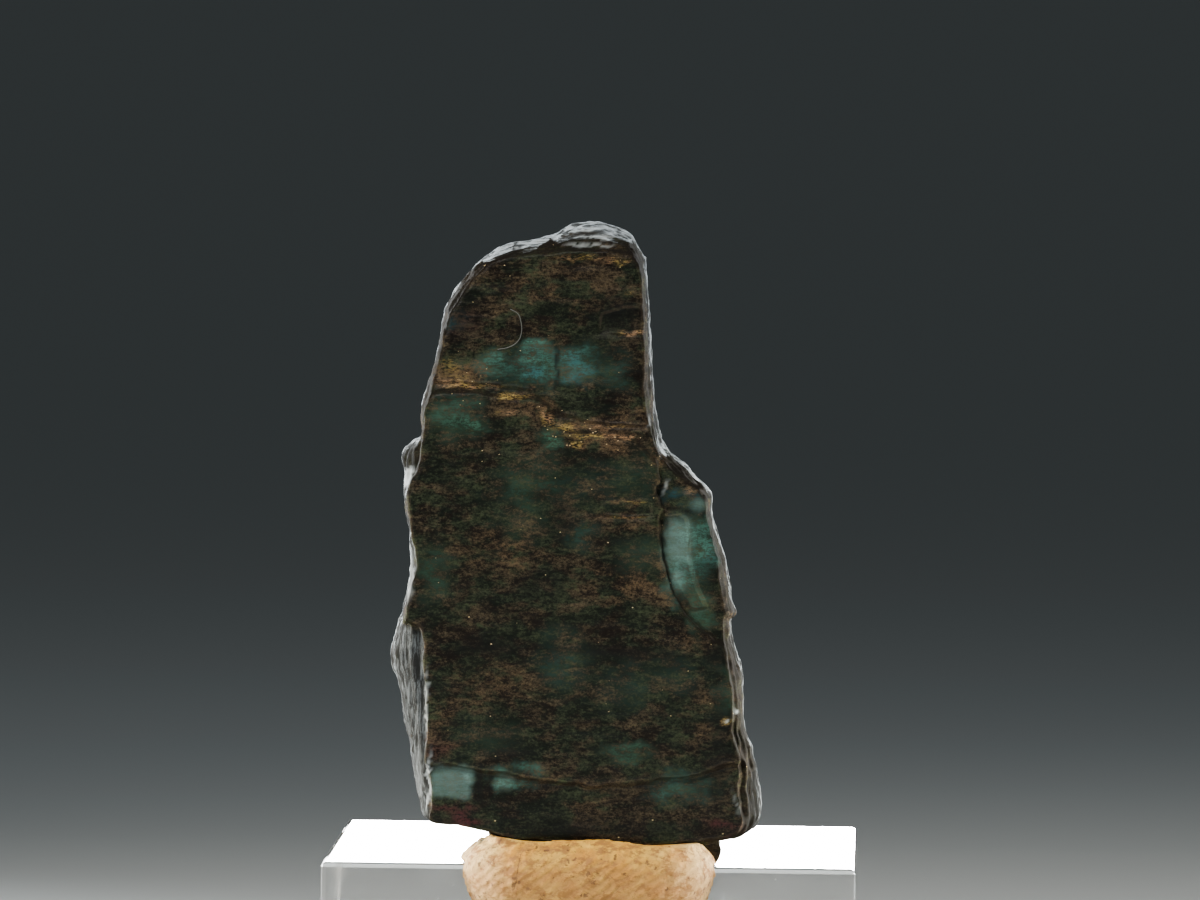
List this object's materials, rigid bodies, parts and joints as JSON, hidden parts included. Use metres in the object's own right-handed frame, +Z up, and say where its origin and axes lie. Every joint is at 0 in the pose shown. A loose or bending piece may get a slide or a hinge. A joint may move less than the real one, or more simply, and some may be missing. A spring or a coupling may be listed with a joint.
{
  "type": "vivianite crystal",
  "caption": "Dark green bladed vivianite crystal with stepped cleavage faces, held upright by a lump of putty on a small clear block.",
  "frame": {"origin": "centre of the clear block's underside", "axes": "+Z up along the crystal's length, -Y towards the front, the crystal's broad stepped face and the side that the putty overhangs"},
  "size_m": [0.0318, 0.0354, 0.0509],
  "materials": {
    "vivianite": "dark, faintly translucent green to blue-green cleavage faces under a brown bronzed film",
    "putty": "matt tan putty with pressed ridges and specks",
    "clear_acrylic": "polished clear acrylic with fine scratches and dust"
  },
  "bodies": {
    "root": {"crystal": "vivianite", "putty": "putty", "display_block": "clear_acrylic"}
  },
  "joints": []
}
